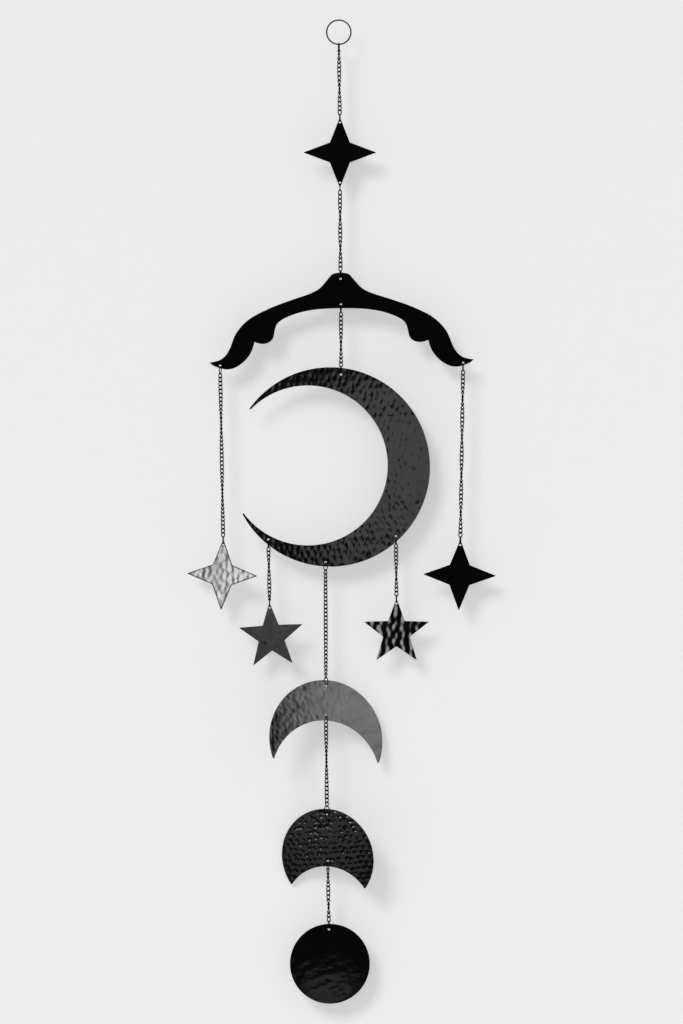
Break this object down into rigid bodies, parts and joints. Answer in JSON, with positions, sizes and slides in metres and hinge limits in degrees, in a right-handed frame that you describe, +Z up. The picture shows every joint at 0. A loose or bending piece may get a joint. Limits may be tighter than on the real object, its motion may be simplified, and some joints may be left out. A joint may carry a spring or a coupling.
{
  "type": "hanging mobile",
  "caption": "Hanging mobile of sheet-metal moons and stars on fine chains below an arched spreader and a wire ring.",
  "frame": {"origin": "inside top of the wire ring, where it bears on its hook", "axes": "+Z up along the strings, -Y out of the front faces, +X to the viewer's right"},
  "size_m": [0.3083, 0.0526, 0.9845],
  "materials": {
    "black_enamel": "gloss black on hammered sheet",
    "bright_metal": "hammered, bright, darker in the dimples",
    "black_wire": "satin black wire"
  },
  "bodies": {
    "root": {"arch": "black_enamel", "chain_arch": "black_wire", "chain_crescent": "black_wire", "chain_full_moon": "black_wire", "chain_gibbous_moon": "black_wire", "chain_half_moon": "black_wire", "chain_left_small_star": "black_wire", "chain_left_star": "black_wire", "chain_right_small_star": "black_wire", "chain_right_star": "black_wire", "chain_top": "black_wire", "crescent_moon": "black_enamel", "full_moon": "black_enamel", "gibbous_moon": "black_enamel", "half_moon": "black_enamel", "hanging_ring": "black_wire", "left_small_star": "black_enamel", "left_star": "bright_metal", "lower_ring_of_chain_arch": "black_wire", "lower_ring_of_chain_crescent": "black_wire", "lower_ring_of_chain_full_moon": "black_wire", "lower_ring_of_chain_gibbous_moon": "black_wire", "lower_ring_of_chain_half_moon": "black_wire", "lower_ring_of_chain_left_small_star": "black_wire", "lower_ring_of_chain_left_star": "black_wire", "lower_ring_of_chain_right_small_star": "black_wire", "lower_ring_of_chain_right_star": "black_wire", "lower_ring_of_chain_top": "black_wire", "right_small_star": "black_enamel", "right_star": "black_enamel", "top_star": "black_enamel", "upper_ring_of_chain_arch": "black_wire", "upper_ring_of_chain_crescent": "black_wire", "upper_ring_of_chain_full_moon": "black_wire", "upper_ring_of_chain_gibbous_moon": "black_wire", "upper_ring_of_chain_half_moon": "black_wire", "upper_ring_of_chain_left_small_star": "black_wire", "upper_ring_of_chain_left_star": "black_wire", "upper_ring_of_chain_right_small_star": "black_wire", "upper_ring_of_chain_right_star": "black_wire", "upper_ring_of_chain_top": "black_wire"}
  },
  "joints": []
}
